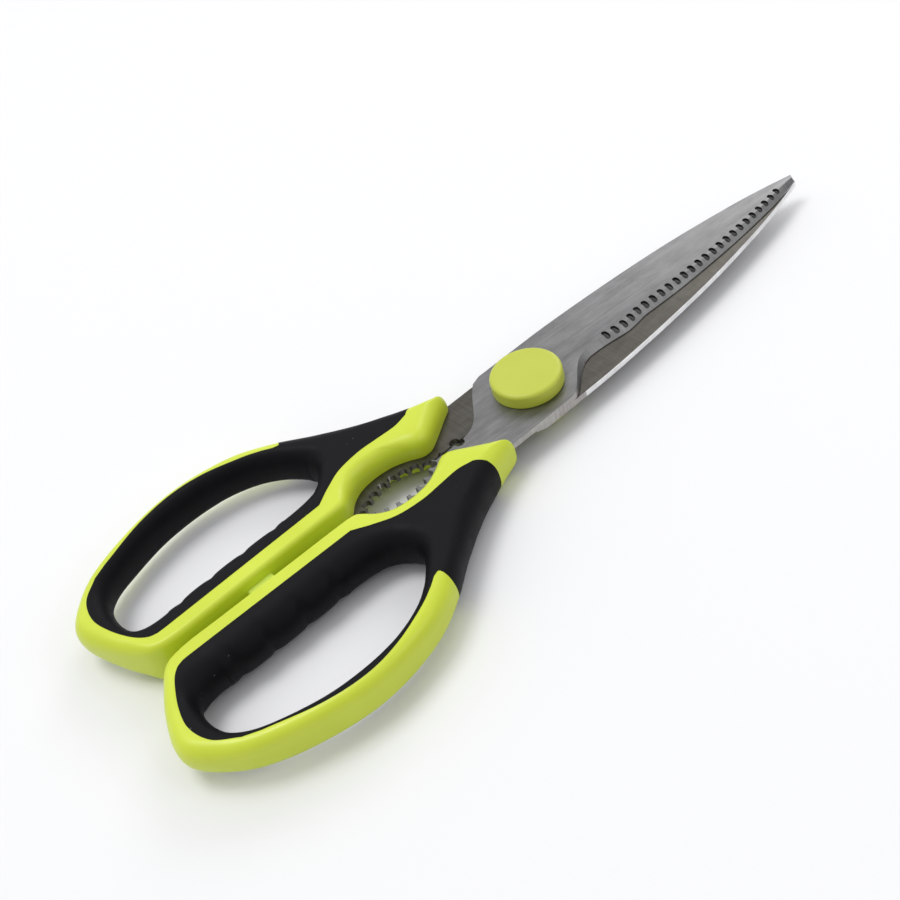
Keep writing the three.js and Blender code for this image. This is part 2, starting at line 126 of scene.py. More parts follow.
def make_studio():
    """A plain pale floor, a world that is brightest above the left handle, and three soft lights."""
    world = bpy.data.worlds.new("studio")
    world.use_nodes = True
    tree = world.node_tree
    background = tree.nodes["Background"]
    background.inputs["Color"].default_value = (*WORLD_TINT, 1)
    towards = tree.nodes.new("ShaderNodeVectorMath")
    towards.operation = "DOT_PRODUCT"
    towards.inputs[1].default_value = Vector(BRIGHT_SIDE).normalized()
    tree.links.new(tree.nodes.new("ShaderNodeTexCoord").outputs["Generated"], towards.inputs[0])
    strength = tree.nodes.new("ShaderNodeMapRange")
    strength.inputs["From Min"].default_value = WORLD_DARK_AT
    strength.inputs["From Max"].default_value = WORLD_LIGHT_AT
    strength.inputs["To Min"].default_value = WORLD_DARK
    strength.inputs["To Max"].default_value = WORLD_LIGHT
    tree.links.new(towards.outputs["Value"], strength.inputs["Value"])
    tree.links.new(strength.outputs["Result"], background.inputs["Strength"])
    scene.world = world
    for name, light in LIGHTS.items():
        make_area_light(name, *light)

    mesh = bpy.data.meshes.new("floor")
    far = FLOOR_REACH
    mesh.from_pydata([(-far, -far, 0), (far, -far, 0), (far, far, 0), (-far, far, 0)], [], [(0, 1, 2, 3)])
    floor = bpy.data.objects.new("floor", mesh)
    floor.location.z = -FLOOR_DROP
    scene.collection.objects.link(floor)
    material = bpy.data.materials.new("floor")
    material.use_nodes = True
    shader = material.node_tree.nodes["Principled BSDF"]
    shader.inputs["Base Color"].default_value = (*FLOOR_COLOUR, 1)
    shader.inputs["Roughness"].default_value = 0.7
    shader.inputs["Specular IOR Level"].default_value = 0.2
    mesh.materials.append(material)
    scene.view_settings.view_transform = "Standard"


# ---- Materials -----------------------------------------------------------------------------------------


class Nodes:
    """A short way to write one material's node tree."""

    def __init__(self, name, metallic=0.0):
        self.material = bpy.data.materials.new(name)
        self.material.use_nodes = True
        self.tree = self.material.node_tree
        self.shader = self.tree.nodes["Principled BSDF"]
        self.shader.inputs["Metallic"].default_value = metallic
        self.coords = self.tree.nodes.new("ShaderNodeTexCoord").outputs["Object"]

    def link(self, source, target):
        self.tree.links.new(source, target)

    def mapped(self, scale, rotation=(0, 0, 0)):
        """Object coordinates, turned and then scaled: a small scale along an axis draws streaks along it."""
        turned = self.tree.nodes.new("ShaderNodeMapping")
        turned.inputs["Rotation"].default_value = rotation
        self.link(self.coords, turned.inputs["Vector"])
        scaled = self.tree.nodes.new("ShaderNodeMapping")
        scaled.inputs["Scale"].default_value = scale
        self.link(turned.outputs["Vector"], scaled.inputs["Vector"])
        return scaled.outputs["Vector"]

    def noise(self, vector, scale, detail=3.0, roughness=0.55):
        node = self.tree.nodes.new("ShaderNodeTexNoise")
        node.inputs["Scale"].default_value = scale
        node.inputs["Detail"].default_value = detail
        node.inputs["Roughness"].default_value = roughness
        self.link(vector, node.inputs["Vector"])
        return node.outputs["Fac"]

    def ramp(self, factor, stops):
        """A colour ramp: stops are (position, colour), colours are grey levels or RGB."""
        node = self.tree.nodes.new("ShaderNodeValToRGB")
        ramp = node.color_ramp
        while len(ramp.elements) < len(stops):
            ramp.elements.new(0.5)
        for element, (position, colour) in zip(ramp.elements, stops):
            element.position = position
            rgb = colour if isinstance(colour, tuple) else (colour,) * 3
            element.color = (*rgb, 1)
        self.link(factor, node.inputs["Fac"])
        return node.outputs["Color"]

    def mix(self, factor, a, b, kind="MIX"):
        node = self.tree.nodes.new("ShaderNodeMix")
        node.data_type = "RGBA"
        node.blend_type = kind
        sockets = {"Factor": factor, "A": a, "B": b}
        for key, value in sockets.items():
            index = {"Factor": 0, "A": 6, "B": 7}[key]
            if isinstance(value, (int, float)):
                node.inputs[index].default_value = value
            elif isinstance(value, tuple):
                node.inputs[index].default_value = (*value, 1)
            else:
                self.link(value, node.inputs[index])
        return node.outputs[2]

    def bump(self, layers):
        """Height layers as (factor, strength, distance in millimetres), one on top of another."""
        normal = None
        for height, strength, distance in layers:
            node = self.tree.nodes.new("ShaderNodeBump")
            node.inputs["Strength"].default_value = strength
            node.inputs["Distance"].default_value = distance * MM
            self.link(height, node.inputs["Height"])
            if normal is not None:
                self.link(normal, node.inputs["Normal"])
            normal = node.outputs["Normal"]
        self.link(normal, self.shader.inputs["Normal"])


def linear(r, g, b):
    """An sRGB colour of 0 to 255 as the linear values that shaders take."""
    def channel(value):
        v = value / 255
        return v / 12.92 if v <= 0.04045 else ((v + 0.055) / 1.055) ** 2.4
    return tuple(channel(v) for v in (r, g, b))


def brushed_steel(name, streak, tones, roughness, rotation=(0, 0, 0)):
    """Steel with fine lines: streak gives the noise scale along X and Y, small along the lines."""
    made = Nodes(name, metallic=1.0)
    lines = made.mapped((streak[0], streak[1], streak[1]), rotation)
    fine = made.noise(lines, 1.0, detail=5.0, roughness=0.7)
    coarse = made.noise(made.mapped((streak[0] * 0.25, streak[1] * 0.08, 200), rotation), 1.0, detail=4.0)
    cloud = made.noise(made.mapped((130, 330, 200), rotation), 1.0, detail=5.0, roughness=0.65)
    dark, light = tones
    base = made.ramp(fine, [(0.25, dark), (0.75, light)])
    patchy = made.ramp(coarse, [(0.3, (0.92,) * 3), (0.7, (1.0,) * 3)])
    mottled = made.ramp(cloud, [(0.35, (0.80, 0.79, 0.79)), (0.62, (1.0, 1.0, 1.0))])
    tinted = made.mix(1.0, base, patchy, "MULTIPLY")
    made.link(made.mix(1.0, tinted, mottled, "MULTIPLY"), made.shader.inputs["Base Color"])
    low, high = roughness
    made.link(made.ramp(coarse, [(0.3, low), (0.7, high)]), made.shader.inputs["Roughness"])
    made.shader.inputs["Anisotropic"].default_value = 0.35
    made.bump([(fine, 0.25, 0.02), (coarse, 0.12, 0.03)])
    return made.material


def moulded_plastic(name, tones, roughness):
    """Hard satin plastic: a faint cloud in the colour, fine moulding texture and a few rubbed patches."""
    made = Nodes(name)
    cloud = made.noise(made.coords, 45.0, detail=3.0)
    dark, light = tones
    made.link(made.ramp(cloud, [(0.3, dark), (0.7, light)]), made.shader.inputs["Base Color"])
    rub = made.noise(made.mapped((180, 180, 300)), 1.0, detail=6.0, roughness=0.7)
    low, high = roughness
    made.link(made.ramp(rub, [(0.35, low), (0.7, high)]), made.shader.inputs["Roughness"])
    grain = made.noise(made.coords, 5200.0, detail=2.0)
    wave = made.noise(made.coords, 260.0, detail=2.0)
    made.bump([(grain, 0.10, 0.02), (wave, 0.12, 0.06)])
    made.shader.inputs["Subsurface Weight"].default_value = 0.12
    made.shader.inputs["Subsurface Radius"].default_value = (0.9 * MM, 1.0 * MM, 0.3 * MM)
    made.shader.inputs["Subsurface Scale"].default_value = 1.0
    made.shader.inputs["Specular IOR Level"].default_value = 0.5
    return made.material


def soft_rubber(name):
    """Soft-touch black: a matt skin with a fine grain, handling marks and sparse pale dust."""
    made = Nodes(name)
    grain = made.noise(made.coords, 3600.0, detail=3.0, roughness=0.6)
    marks = made.noise(made.mapped((260, 160, 200)), 1.0, detail=6.0, roughness=0.65)
    specks = made.tree.nodes.new("ShaderNodeTexVoronoi")
    specks.inputs["Scale"].default_value = 520.0
    made.link(made.coords, specks.inputs["Vector"])
    spots = made.ramp(specks.outputs["Distance"], [(0.05, 1.0), (0.09, 0.0)])
    sparse = made.ramp(made.noise(made.coords, 300.0, detail=1.0), [(0.60, 0.0), (0.66, 0.6)])
    dust = made.mix(1.0, spots, sparse, "MULTIPLY")
    base = made.ramp(marks, [(0.3, linear(10, 10, 13)), (0.75, linear(16, 16, 19))])
    made.link(made.mix(dust, base, linear(120, 120, 124)), made.shader.inputs["Base Color"])
    made.link(made.ramp(marks, [(0.3, 0.46), (0.7, 0.60)]), made.shader.inputs["Roughness"])
    made.shader.inputs["Specular IOR Level"].default_value = 0.12
    made.bump([(grain, 0.22, 0.03), (marks, 0.10, 0.08)])
    return made.material


ALONG = (14, 5200)  # brushing along the blade
ACROSS = (5200, 60)  # grinding across it
BRUSH_TURN = (0, 0, math.radians(4))  # the brushing runs a little askew of the blade
BRUSHED = brushed_steel("blade_brushed", ALONG, (0.18, 0.30), (0.34, 0.44), BRUSH_TURN)
GROUND = brushed_steel("blade_ground", ACROSS, (0.19, 0.33), (0.36, 0.46))
# Inner face: ground across, with the steel painted dark and brownish as painted shade and painted
# reflection; the walls round the eye take it too.
SHADED_INNER_TONES = ((0.095, 0.089, 0.078), (0.145, 0.137, 0.12))
SHADED_INNER = brushed_steel("blade_inner_face_painted_shade", ACROSS, SHADED_INNER_TONES, (0.30, 0.40))
# Walls: steel painted near white, brighter than steel is, as a painted reflection of the lit floor.
WALL_PAINTED_BRIGHT = brushed_steel("blade_wall_painted_reflection", ACROSS, (0.86, 0.98), (0.26, 0.38))
ROOT_TONES = ((0.30, 0.29, 0.27), (0.62, 0.60, 0.58))
ROOT = brushed_steel("blade_root_wall", ACROSS, ROOT_TONES, (0.30, 0.42))
# Pits: steel painted nearly black as painted shade in the punched hollows.
PIT_PAINTED_SHADE = brushed_steel("blade_pit_painted_shade", (900, 900), (0.05, 0.13), (0.4, 0.55))
HARDWARE = brushed_steel("turned_steel", (900, 900), (0.22, 0.36), (0.28, 0.36))
LIME = moulded_plastic("lime_plastic", (linear(199, 213, 52), linear(207, 221, 64)), (0.30, 0.40))
CAP_LIME = moulded_plastic("cap_plastic", (linear(184, 192, 62), linear(192, 199, 72)), (0.34, 0.46))
PAD_LIME = moulded_plastic("pad_rubber", (linear(200, 220, 84), linear(208, 226, 96)), (0.45, 0.55))
GRIP = soft_rubber("soft_grip")


# ---- Mesh helpers --------------------------------------------------------------------------------------


def new_object(name, vertices, faces):
    """An object from points in millimetres."""
    mesh = bpy.data.meshes.new(name)
    mesh.from_pydata([tuple(float(c) * MM for c in v) for v in vertices], [], faces)
    mesh.validate()
    made = bpy.data.objects.new(name, mesh)
    scene.collection.objects.link(made)
    return made


def cut(target, cutter, operation):
    """A new object: target with the cutter taken away (DIFFERENCE) or kept (INTERSECT)."""
    modifier = target.modifiers.new("cut", "BOOLEAN")
    modifier.operation = operation
    modifier.object = cutter
    modifier.solver = "EXACT"
    modifier.material_mode = "TRANSFER"
    evaluated = target.evaluated_get(bpy.context.evaluated_depsgraph_get())
    mesh = bpy.data.meshes.new_from_object(evaluated)
    target.modifiers.clear()
    made = bpy.data.objects.new(target.name + "_cut", mesh)
    scene.collection.objects.link(made)
    return made


def remove(*objects):
    for item in objects:
        bpy.data.objects.remove(item)


def smooth(item, angle):
    for polygon in item.data.polygons:
        polygon.use_smooth = True
    item.data.set_sharp_from_angle(angle=math.radians(angle))


def place(item, turned):
    """Moves an arm's piece from its own mid-plane to its place, turned over for the upper blade's arm."""
    move = Matrix.Translation((0, 0, MID * MM))
    if turned:
        move = move @ Matrix.Rotation(math.pi, 4, "X")
    item.data.transform(move)
    item.data.update()


def piece(item, name, body, node, slot, *materials):
    """Names a finished piece, gives it its materials, hangs it under its body's empty and hides the CAD part
    that it stands for.
    """
    item.name = name
    item.data.name = name
    item.data.materials.clear()
    for material in materials:
        item.data.materials.append(material)
    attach(item, body)
    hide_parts(node)
    return item


def smooth_curve(points, steps, closed=False):
    """A Catmull-Rom curve through the points, with that many steps in each gap, or a list of steps."""
    p = np.array(points, float)
    gaps = len(p) if closed else len(p) - 1
    if not closed:
        p = np.vstack([2 * p[0] - p[1], p, 2 * p[-1] - p[-2]])
    counts = [steps] * gaps if isinstance(steps, int) else steps
    rows = []
    for gap in range(gaps):
        if closed:
            a, b, c, d = (p[(gap + k) % len(p)] for k in (-1, 0, 1, 2))
        else:
            a, b, c, d = p[gap : gap + 4]
        t = np.linspace(0, 1, counts[gap], endpoint=False)[:, None]
        out_of_b = (c - a) / 2
        into_c = (d - b) / 2
        rows.append(
            (2 * t**3 - 3 * t**2 + 1) * b
            + (t**3 - 2 * t**2 + t) * out_of_b
            + (3 * t**2 - 2 * t**3) * c
            + (t**3 - t**2) * into_c
        )
    if not closed:
        rows.append(p[-2][None])
    return np.vstack(rows)


def arc(cx, cy, radius, start, end, steps):
    angles = np.radians(np.linspace(start, end, steps + 1))
    return np.column_stack([cx + radius * np.cos(angles), cy + radius * np.sin(angles)])


def inwards(outline, distance):
    """The anticlockwise outline moved inwards by a distance, or by one distance for each of its corners."""
    before = outline - np.roll(outline, 1, axis=0)
    after = np.roll(before, -1, axis=0)
    before = before / np.linalg.norm(before, axis=1)[:, None]
    after = after / np.linalg.norm(after, axis=1)[:, None]
    normal = np.column_stack([-(before + after)[:, 1], (before + after)[:, 0]])
    normal /= np.linalg.norm(normal, axis=1)[:, None]
    stretch = np.clip(normal[:, 1] * before[:, 0] - normal[:, 0] * before[:, 1], 0.5, None)
    return outline + normal * (np.asarray(distance) / stretch)[..., None]


def chamfered(outline, width):
    """The outline moved inwards by a chamfer's width, less beside its shortest sides."""
    gap = np.linalg.norm(np.roll(outline, -1, axis=0) - outline, axis=1)
    shortest = np.minimum(gap, np.roll(gap, 1))
    return inwards(outline, np.minimum(width, 0.4 * shortest))


def stack(name, layers):
    """A solid between outlines stacked from the bottom up: layers are (outline, z)."""
    count = len(layers[0][0])
    vertices = [(x, y, z) for outline, z in layers for x, y in outline]
    faces = [tuple(reversed(range(count)))]
    faces.append(tuple(range((len(layers) - 1) * count, len(layers) * count)))
    for layer in range(len(layers) - 1):
        for i in range(count):
            j = (i + 1) % count
            low = layer * count
            faces.append((low + i, low + j, low + count + j, low + count + i))
    return new_object(name, vertices, faces)


def lathe(name, profile, steps):
    """A solid turned about the pivot axis from a profile of (radius, z) that starts and ends on the axis."""
    ring = profile[1:-1]
    vertices = [(0, 0, profile[0][1]), (0, 0, profile[-1][1])]
    for step in range(steps):
        angle = 2 * math.pi * step / steps
        vertices += [(r * math.cos(angle), r * math.sin(angle), z) for r, z in ring]
    faces = []
    for step in range(steps):
        here = 2 + step * len(ring)
        there = 2 + (step + 1) % steps * len(ring)
        faces.append((0, there, here))
        faces.append((1, here + len(ring) - 1, there + len(ring) - 1))
        for k in range(len(ring) - 1):
            faces.append((here + k, there + k, there + k + 1, here + k + 1))
    return new_object(name, vertices, faces)


# ---- Handles -------------------------------------------------------------------------------------------
# The same stations as the CAD's: outer contour, hole, half thickness, rounding outside and at the hole.

RIM = 5.3
STATIONS = [
    # inner strip, back to front
    (-108, 1.5, -107, 13.0, HALF, 1.4, 7.5),
    (-97, 1.6, -97, 13.5, HALF, 1.3, 7.4),
    (-86, 1.75, -86, 13.7, HALF, 1.3, 7.4),
    (-75, 1.9, -75, 13.7, HALF, 1.3, 7.4),
    (-65, 2.0, -66, 13.9, HALF, 1.3, 7.2),
    (-59, 2.1, -61, 14.5, HALF, 1.6, 6.6),
    # wall of the cracker eye
    (-56.6, 2.9, -59.2, 15.2, HALF, 2.3, 6.0),
    (-53.6, 5.8, -57.6, 16.2, HALF, 3.0, 5.4),
    (-50.2, 7.7, -56.4, 17.6, HALF, 3.3, 5.0),
    (-45.6, 8.4, -55.3, 19.0, HALF, 3.3, 5.0),
    (-40.6, 7.9, -54.8, 20.0, HALF, 3.3, 5.0),
    (-36.4, 6.2, -54.5, 20.8, HALF, 3.2, 5.0),
    # collar
    (-33.4, 4.3, -54.4, 21.4, HALF, 3.0, 5.0),
    (-31.5, 3.8, -54.4, 21.7, HALF, 3.0, 5.0),
    (-29.2, 4.3, -54.4, 22.0, HALF, 3.4, 5.0),
    (-25.0, 7.0, -54.5, 22.4, HALF, 4.0, 5.0),
    (-21.2, 9.6, -54.6, 22.8, HALF, 4.4, 5.0),
    (-18.0, 11.8, -54.7, 23.2, HALF, 4.6, 5.0),
    (-17.5, 13.9, -54.9, 23.8, HALF, 4.6, 5.0),
    # outer side of the shoulder
    (-21.6, 15.6, -55.3, 24.4, HALF, 4.6, 5.0),
    (-28, 18.3, -56.0, 25.6, 6.35, 4.8, 4.8),
    (-37, 23.4, -57.4, 27.4, 6.0, 5.0, 4.4),
    (-47, 30.2, -60.5, 30.8, 5.6, 4.6, 3.8),
    # outer rim
    (-56, 37.0, -65, 34.2, 5.4, 4.0, 3.4),
    (-65, 41.6, -71, 36.8, RIM, 3.2, 3.2),
    (-75, 44.0, -77.5, 38.2, RIM, 3.0, 3.2),
    (-85, 44.6, -85, 38.5, RIM, 3.0, 3.2),
    (-95, 43.0, -93, 37.8, RIM, 3.0, 3.2),
    (-105, 40.0, -102, 35.2, RIM, 3.0, 3.3),
    # back of the loop
    (-113.2, 36.4, -108.5, 32.2, 5.1, 3.2, 3.6),
    (-119.7, 31.2, -112.3, 28.6, 5.0, 3.4, 4.0),
    (-123.4, 26, -113.9, 25, 4.9, 3.6, 4.3),
    (-123.6, 21, -114.4, 21.8, 5.0, 3.6, 4.4),
    (-121.5, 15, -114.3, 18.4, 5.3, 3.4, 4.8),
    (-117.8, 8, -113.4, 15.4, 5.9, 2.8, 5.8),
    (-113.8, 3, -111.4, 13.7, HALF, 1.8, 7.0),
]
STRIP_GAPS = 5  # the first gaps run along the strip, where the finger grooves need finer steps
STRIP_STEPS = 26
LOOP_STEPS = 12
WALL_POINTS = 9  # points of a cross-section over its rounded outer edge, its flat and its rounded lining
FLAT_POINTS = 12
LINING_POINTS = 15
CROWN = 0.4  # narrowest flat between the two rounded edges
OUTER_FALL = 1.25  # height that the outer edge's rounding takes up, as a share of its radius
WALL_HEIGHT = 0.3  # half the upright part of the outer wall, at the least
HANDLE_CREASE = 38  # degrees: edges sharper than this stay sharp

# The line where the two colours meet, seen from above, as runs of smooth curve.
GRIP_EDGE = [
    ((-108.5, 5.75), (-98, 5.9), (-74, 6.3), (-62, 6.5)),
    ((-58, 9), (-52, 11.9), (-45, 13), (-39, 12.7), (-33.5, 12.4), (-29.2, 13.3)),
    ((-26.6, 15.4), (-25.4, 18.0), (-25, 24)),
    ((-40, 36), (-50, 40)),
    ((-55.5, 39.5), (-55.4, 35.6), (-56.2, 32.9), (-58, 33.2)),
    ((-60.4, 34.9), (-65.3, 37.5), (-75, 41), (-84.5, 42.1), (-95.5, 40.3), (-108, 35.6)),
    ((-112, 33.6), (-117, 28.9), (-118.8, 22.5), (-117.5, 16), (-114.6, 9.6), (-112.2, 6.7), (-110, 5.8)),
]

GROOVES = (-101.5, -92.2, -82.6, -73.0)  # between the finger pads
GROOVE_WIDTH = 1.1
GROOVE_DEPTH = 0.55
PAD_SWELL = 0.35
PAD_REACH = 0.4  # how far the pads run on past the first and last groove, in steps from groove to groove
STRIP_SIDE = 3.0  # the strip's outer contour stays below this y
SUNK = 0.05  # the hard shell lies this far below the soft grip


def finger_relief(x):
    """How far the strip's lining stands out at x: soft pads parted by narrow grooves."""
    deep = sum(math.exp(-(((x - g) / GROOVE_WIDTH) ** 2)) for g in GROOVES)
    pitch = GROOVES[1] - GROOVES[0]
    phase = (x - GROOVES[0]) / pitch
    on_pads = -PAD_REACH < phase < len(GROOVES) - 1 + PAD_REACH
    swell = PAD_SWELL * abs(math.sin(math.pi * phase)) if on_pads else 0.0
    return swell - GROOVE_DEPTH * deep


def distance_to_ring(points, ring):
    """How far each plan point lies from the closed line through the ring's points."""
    flat = points.reshape(-1, 1, 2)
    along = np.roll(ring, -1, axis=0) - ring
    share = ((flat - ring) * along).sum(axis=2) / (along**2).sum(axis=1)
    nearest = ring + np.clip(share, 0, 1)[..., None] * along
    return np.linalg.norm(flat - nearest, axis=2).min(axis=1).reshape(points.shape[:-1])


def rounding(distance, radius):
    """Share of its height that a rounded edge has lost: 1 at its foot, 0 from its radius on."""
    return 1 - np.sqrt(1 - (1 - np.clip(distance / radius, 0, 1)) ** 2)


def handle_ring(name, grow, up):
    """The moulded body of one handle: cross-sections round the finger hole, from outer contour to hole.

    Its top lies level, and where it is thinner its underside rises. Up is 1 on the arm that lies as designed
    and -1 on the one that is turned over.
    """
    steps = [STRIP_STEPS if gap < STRIP_GAPS else LOOP_STEPS for gap in range(len(STATIONS))]
    stations = smooth_curve(STATIONS, steps, closed=True)
    outer = stations[:, 0:2]
    hole = stations[:, 2:4]
    half = np.minimum(stations[:, 4:5], HALF)
    length = np.linalg.norm(hole - outer, axis=1)[:, None]
    fit = np.minimum(1.0, (length - CROWN) / (stations[:, 5:6] + stations[:, 6:7]))
    outer_round = stations[:, 5:6] * fit
    hole_round = stations[:, 6:7] * fit

    at_wall = outer_round * (1 - np.cos(np.linspace(0, math.pi / 2, WALL_POINTS)))
    across = np.linspace(0, 1, FLAT_POINTS)[1:-1]
    at_flat = outer_round + (length - outer_round - hole_round) * across
    lining = np.sin(np.linspace(0, math.pi / 2, LINING_POINTS))
    at_hole = length - hole_round + hole_round * lining
    reach = np.hstack([at_wall, at_flat, at_hole])
    direction = (hole - outer) / length
    plan = outer[:, None] + direction[:, None] * reach[..., None]

    fall = np.minimum(outer_round * OUTER_FALL, half - WALL_HEIGHT)
    height = half - fall * rounding(distance_to_ring(plan, outer), outer_round)
    height = height - half * rounding(distance_to_ring(plan, hole), hole_round)
    height[:, -1] = 0
    height = height * (1 + grow / half)

    relief = np.array([finger_relief(x) if y < STRIP_SIDE else 0.0 for x, y in outer])[:, None]
    push = grow * (2 * reach / length - 1)
    push[:, -LINING_POINTS:] += relief * lining**2
    plan = plan + direction[:, None] * push[..., None]

    centre = up * (HALF - half)
    top = np.dstack([plan, centre + height])
    bottom = np.dstack([plan, centre - height])[:, -2::-1]
    sections = np.concatenate([top, bottom], axis=1)
    count = sections.shape[1]
    faces = []
    for s in range(len(sections)):
        here = s * count
        there = (s + 1) % len(sections) * count
        for i in range(count):
            j = (i + 1) % count
            faces.append((here + i, there + i, there + j, here + j))
    return new_object(name, sections.reshape(-1, 3), faces)


def grip_region():
    """The upright block that holds everything on the hole's side of the line where the two colours meet."""
    outline = np.vstack([smooth_curve(run, 8) for run in GRIP_EDGE])
    reach = 2 * HALF
    return stack("grip_region", [(outline, -reach), (outline, reach)])


def make_handles():
    region = grip_region()
    for side, body, turned in (("left", "lower_arm", False), ("right", "upper_arm", True)):
        up = -1 if turned else 1
        for kind, slot, material, grow, operation in (
            ("shell", "handle_plastic", LIME, -SUNK, "DIFFERENCE"),
            ("grip", "soft_grip", GRIP, 0.0, "INTERSECT"),
        ):
            ring = handle_ring("ring", grow, up)
            item = cut(ring, region, operation)
            remove(ring)
            place(item, turned)
            smooth(item, HANDLE_CREASE)
            piece(item, f"{side}_handle_{kind}_fine", body, f"{side}_handle_{kind}", slot, material)
    remove(region)


# ---- Blades --------------------------------------------------------------------------------------------

BEVEL = 1.9  # width of the ground bevel along the edge
LAND = 0.25  # upright land left at the cutting edge
CHAMFER = 0.1  # broken edge round the outer face, and half of it round the inner face
PIVOT_HOLE = 3.2
BLADE_CREASE = 25
ROOT_END = 7  # the walls turn from steel painted bright, a painted reflection, to rough ground this far in front of the pivot
TANG_SIDE = 6  # inside this distance from the centre line the walls behind the pivot take the inner face's dark steel, painted shade
BITE_STEPS = 14
TEETH = {"x": -44.3, "y": -12.5, "radius": 17, "pitch": 3.1, "count": 8, "cutter": 1.15, "offset": 0.45}
PITS = {
    "count": 25,
    "first": 24.6,  # how far along the blade the row starts and ends
    "last": 94.2,
    "length": 2.9,
    "tip_length": 2.1,
    "width": 1.5,
    "depth": 0.9,
}

SPINE = (
    (-6, -12.95), (6, -12.95), (20, -12.7), (40, -11.4),
    (60, -9.35), (80, -6.1), (92, -3.5), (102, -0.8),
)
EDGE = ((101.6, 1.0), (95, 2.4), (90, 3.3), (80, 4.4), (70, 5.2), (60, 5.6), (50, 5.8), (40, 5.5))
EDGE_WAVE = ((37, 5.35), (34, 5.8), (30, 6.1), (26, 5.5), (22, 4.95), (17.5, 4.7))
RICASSO = ((15, 5.3), (12.6, 6.8), (10.2, 8.8), (7.4, 11.2), (4.6, 12.8), (1.5, 13.1))
TANG_OUTER = ((-26, 13), (-34, 13.6), (-42, 14.4), (-50, 12.6), (-56, 9.4), (-62, 8.6), (-90, 8.6))
TANG_INNER = ((-90, 4.6), (-62, 4.4), (-58.6, 4.2), (-57.3, 1.7))
SMALL_NOTCH = (-29.6, 1.0, 0.75)  # centre and radius
LARGE_NOTCH = (-24.8, 1.3, 1.35)
NECK = ((-22, 0.9), (-19.7, 0), (-17.5, -1.7), (-15.5, -4), (-12, -8.5), (-8.8, -12))


def stretch(points, start=0.0, end=None):
    """Outline points with the width of the bevel at each, running evenly from start to end."""
    end = start if end is None else end
    points = np.asarray(points, float)
    return np.column_stack([points, np.linspace(start, end, len(points))])


def on_teeth_arc(radius, angle):
    return np.array([TEETH["x"] + radius * math.cos(angle), TEETH["y"] + radius * math.sin(angle)])


def cracker_teeth():
    """Round bites along an arc, with flat-topped teeth between them."""
    pitch = TEETH["pitch"] / TEETH["radius"]
    reach = TEETH["radius"] + TEETH["offset"]
    cosine = (TEETH["radius"] ** 2 + reach**2 - TEETH["cutter"] ** 2) / (2 * TEETH["radius"] * reach)
    half = math.acos(cosine)
    first = math.pi / 2 + (TEETH["count"] - 1) / 2 * pitch

    def rim(angle):
        return on_teeth_arc(TEETH["radius"], angle)

    runs = [[rim(first + pitch / 2)]]
    for i in range(TEETH["count"]):
        angle = first - i * pitch
        centre = on_teeth_arc(reach, angle)
        start, end = (
            math.degrees(math.atan2(*(rim(angle + side * half) - centre)[::-1]))
            for side in (1, -1)
        )
        sweep = (end - start) % 360 - 360
        runs.append(arc(*centre, TEETH["cutter"], start, start + sweep, BITE_STEPS))
    runs.append([rim(math.pi - first - pitch / 2)])
    return np.vstack(runs)


def blade_outline():
    return np.vstack([
        stretch(smooth_curve(SPINE, 8)),
        stretch(smooth_curve(EDGE[:2], 10), BEVEL * 0.3, BEVEL * 0.8),
        stretch(smooth_curve(EDGE[1:], 10)[1:], BEVEL * 0.8, BEVEL),
        stretch(smooth_curve(EDGE_WAVE, 6), BEVEL, BEVEL * 0.75),
        stretch(smooth_curve(RICASSO, 6), BEVEL * 0.7, 0.0),
        stretch(TANG_OUTER),
        stretch(TANG_INNER),
        stretch(cracker_teeth()),
        stretch([(-32.4, 1.1), (-30.4, 1.1)]),
        stretch(arc(*SMALL_NOTCH, 170, 10, 8)),
        stretch([(-26.6, 1.1)]),
        stretch(arc(*LARGE_NOTCH, 190, -10, 14)),
        stretch(smooth_curve(NECK, 6)),
    ])


PIT_FILLET = 0.4  # height over which a pit's floor rounds up into its wall
PIT_FILLET_SHARE = 0.55  # how far the fillet reaches in, as a share of the pit's end radius
PIT_FILLET_STEPS = 4
PIT_FILLET_TURN = math.radians(80)


def pit_cutters(outer_face):
    """One object that holds every punched slot: round-ended, with a floor that rounds up into its wall."""
    edge = smooth_curve(EDGE + EDGE_WAVE, 20)
    vertices = []
    faces = []
    for i in range(PITS["count"]):
        t = i / (PITS["count"] - 1)
        x = PITS["first"] + (PITS["last"] - PITS["first"]) * t
        y = edge[np.abs(edge[:, 0] - x).argmin()][1] - BEVEL
        length = PITS["length"] + (PITS["tip_length"] - PITS["length"]) * t * t
        r = PITS["width"] / 2
        reach = length / 2 - r
        outline = np.vstack([arc(x, y + reach, r, 0, 180, 8), arc(x, y - reach, r, 180, 360, 8)])
        levels = [(outline, outer_face - 1)]
        for k in range(PIT_FILLET_STEPS + 1):
            angle = k / PIT_FILLET_STEPS * PIT_FILLET_TURN
            shrink = r * PIT_FILLET_SHARE * (1 - math.cos(angle))
            level = outer_face + PITS["depth"] - PIT_FILLET * (1 - math.sin(angle))
            levels.append((inwards(outline, shrink), level))
        base = len(vertices)
        count = len(outline)
        vertices += [(px, py, z) for ring, z in levels for px, py in ring]
        faces.append(tuple(base + k for k in reversed(range(count))))
        faces.append(tuple(base + (len(levels) - 1) * count + k for k in range(count)))
        for level in range(len(levels) - 1):
            low = base + level * count
            for k in range(count):
                j = (k + 1) % count
                faces.append((low + k, low + j, low + count + j, low + count + k))
    return new_object("pits", vertices, faces)


BLADE_MATERIALS = (BRUSHED, GROUND, SHADED_INNER, WALL_PAINTED_BRIGHT, ROOT, PIT_PAINTED_SHADE)


